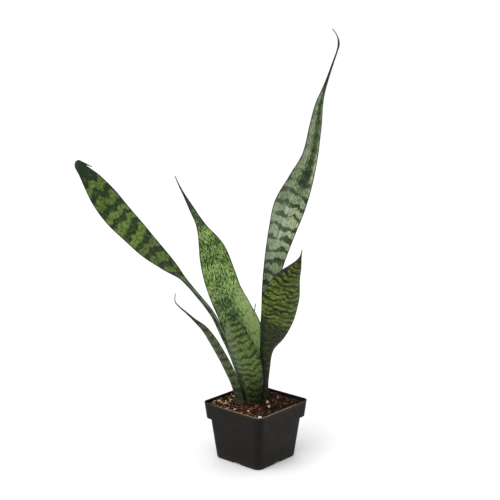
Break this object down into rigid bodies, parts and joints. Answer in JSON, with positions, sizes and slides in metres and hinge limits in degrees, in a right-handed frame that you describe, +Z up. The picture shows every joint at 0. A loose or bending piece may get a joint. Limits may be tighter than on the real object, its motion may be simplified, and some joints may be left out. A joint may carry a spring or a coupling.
{
  "type": "potted snake plant",
  "caption": "Young snake plant with upright, dark-banded sword leaves that end in thin threads, rooted in a small black square nursery pot.",
  "frame": {"origin": "middle of the pot's underside, on the plane it rests on", "axes": "+Z up; the square pot's sides run along X and Y, and the fan of leaves runs at 41 degrees from +X, so that it is seen face on from the side of the +X, -Y corner"},
  "size_m": [0.258, 0.2326, 0.5645],
  "materials": {
    "pot_plastic": "thin moulded black plastic, faintly satin, with a dusty rim",
    "potting_mix": "loose brown peat and composted bark with lighter fibres",
    "rhizome": "pale tan underground stem and roots",
    "tall_right_leaf": "waxy grey-green leaf with bold dark cross bands and a pale middle",
    "short_right_leaf": "waxy olive leaf with close wavy dark lines, very dark below",
    "middle_leaf": "waxy light green leaf with fine dark mottling in streaks",
    "long_left_leaf": "waxy green leaf with bold zigzag dark bands and a dark tip",
    "small_left_leaf": "waxy dark grey-green leaf with faint patches",
    "front_leaf": "waxy leaf with wavy dark bands, greyer on one half",
    "back_leaf": "waxy dark green leaf with wavy bands",
    "perlite": "rough white expanded mineral grains",
    "wood_bits": "light tan dry wood and root bits",
    "bark": "rough reddish brown bark"
  },
  "bodies": {
    "root": {"nursery_pot": "pot_plastic", "potting_mix": "potting_mix", "rhizome": "rhizome", "tall_right_leaf": "tall_right_leaf", "short_right_leaf": "short_right_leaf", "middle_leaf": "middle_leaf", "long_left_leaf": "long_left_leaf", "small_left_leaf": "small_left_leaf", "front_leaf": "front_leaf", "back_leaf": "back_leaf", "perlite_grain_1": "perlite", "perlite_grain_2": "perlite", "perlite_grain_3": "perlite", "wood_bit_1": "wood_bits", "wood_bit_2": "wood_bits", "wood_bit_3": "wood_bits", "wood_bit_4": "wood_bits", "wood_bit_5": "wood_bits", "bark_chip_1": "bark", "bark_chip_2": "bark", "bark_chip_3": "bark", "bark_chip_4": "bark", "bark_chip_5": "bark", "bark_chip_6": "bark", "bark_chip_7": "bark", "bark_chip_8": "bark"}
  },
  "joints": []
}
